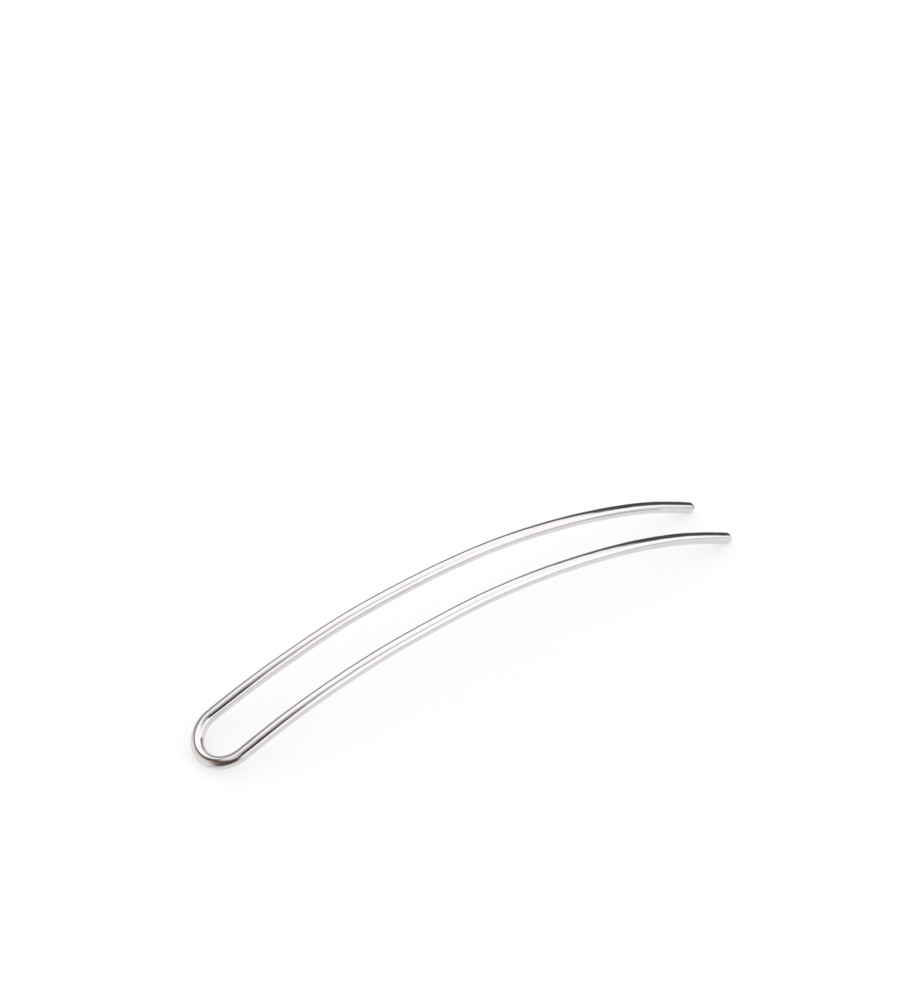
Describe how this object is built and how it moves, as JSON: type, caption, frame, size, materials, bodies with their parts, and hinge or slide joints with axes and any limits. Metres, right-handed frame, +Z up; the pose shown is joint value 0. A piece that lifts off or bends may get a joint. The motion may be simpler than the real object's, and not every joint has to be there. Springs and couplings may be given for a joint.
{
  "type": "cable needle",
  "caption": "U-shaped cable needle bent from polished round steel rod, its long legs ending in domed tips and arched along their length.",
  "frame": {"origin": "on the standing surface, at the middle of the footprint: the underside of the bow and of both tips touch z = 0", "axes": "+X from the bow to the tips, +Y across from the front leg to the back leg, +Z up towards the crown of the arch"},
  "size_m": [0.1238, 0.0142, 0.0165],
  "materials": {
    "polished_steel": "mirror-polished bright steel with faint lengthwise polishing lines"
  },
  "bodies": {
    "root": {"needle_rod": "polished_steel"}
  },
  "joints": []
}
